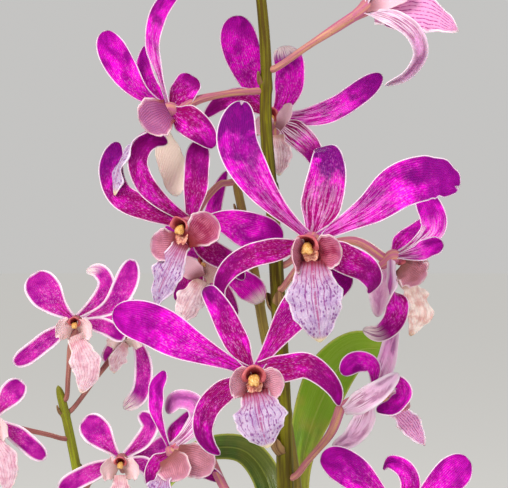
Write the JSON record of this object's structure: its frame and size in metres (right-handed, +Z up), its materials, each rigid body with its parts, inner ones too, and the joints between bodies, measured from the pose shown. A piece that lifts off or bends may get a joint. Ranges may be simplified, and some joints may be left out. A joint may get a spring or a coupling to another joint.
{
  "type": "potted dendrobium orchid",
  "caption": "Potted orchid with upright leafy canes and arching flower sprays of magenta blooms, each with narrow curled petals and a pale veined lip.",
  "frame": {"origin": "centre of the pot's underside, on the floor it stands on", "axes": "+Z up along the pot's axis, -Y the front, the side that the picture was taken from, +X to the right as seen from the front"},
  "size_m": [0.333, 0.3089, 0.6599],
  "materials": {
    "pot": "matte",
    "bark": "matte",
    "root": "matte",
    "leafy_stem": "satin",
    "spray_stem": "satin",
    "petal": "satin",
    "lip": "satin"
  },
  "bodies": {
    "root": {"pot": "pot", "bark_mix": "bark", "roots": "root", "cane_front": "leafy_stem", "cane_middle": "leafy_stem", "cane_far": "leafy_stem", "cane_left": "leafy_stem", "cane_right": "leafy_stem", "spray_front": "spray_stem", "spray_middle": "spray_stem", "spray_far": "spray_stem", "bloom_centre": "petal", "bloom_centre_lip": "lip", "bloom_lower": "petal", "bloom_lower_lip": "lip", "bloom_left": "petal", "bloom_left_lip": "lip", "bloom_upper_left": "petal", "bloom_upper_left_lip": "lip", "bloom_behind": "petal", "bloom_behind_lip": "lip", "bloom_top_right": "petal", "bloom_top_right_lip": "lip", "bloom_right": "petal", "bloom_right_lip": "lip", "bloom_lower_right": "petal", "bloom_lower_right_lip": "lip", "bloom_bottom": "petal", "bloom_bottom_lip": "lip", "bloom_inner": "petal", "bloom_inner_lip": "lip", "bloom_above": "petal", "bloom_above_lip": "lip", "bloom_far_top": "petal", "bloom_far_top_lip": "lip", "bloom_far_behind": "petal", "bloom_far_behind_lip": "lip", "bloom_far_left": "petal", "bloom_far_left_lip": "lip", "bloom_far_low": "petal", "bloom_far_low_lip": "lip", "bloom_low": "petal", "bloom_low_lip": "lip"}
  },
  "joints": []
}
